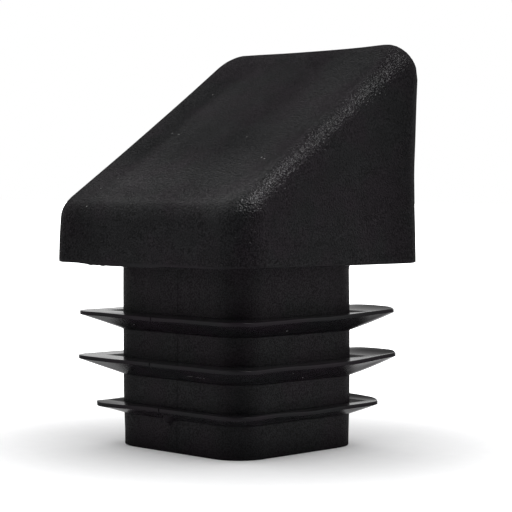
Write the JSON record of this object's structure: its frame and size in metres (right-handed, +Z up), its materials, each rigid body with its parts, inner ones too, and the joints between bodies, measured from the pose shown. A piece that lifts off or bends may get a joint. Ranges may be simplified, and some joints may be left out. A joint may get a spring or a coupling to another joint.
{
  "type": "tube end cap",
  "caption": "Black square tube end cap with a sloping head and a hollow ribbed plug, pushed into a square tube to close it or to foot a raked leg.",
  "frame": {"origin": "middle of the plug's open end, on the surface that the cap stands on", "axes": "+Z up the plug into the head; the low wall of the head faces -Y and the high wall +Y; +X across the slope"},
  "size_m": [0.025, 0.025, 0.0374],
  "materials": {
    "black_polyethylene": "fine spark-eroded texture on the head, smoother satin on the plug and fins"
  },
  "bodies": {
    "root": {"end_cap": "black_polyethylene"}
  },
  "joints": []
}
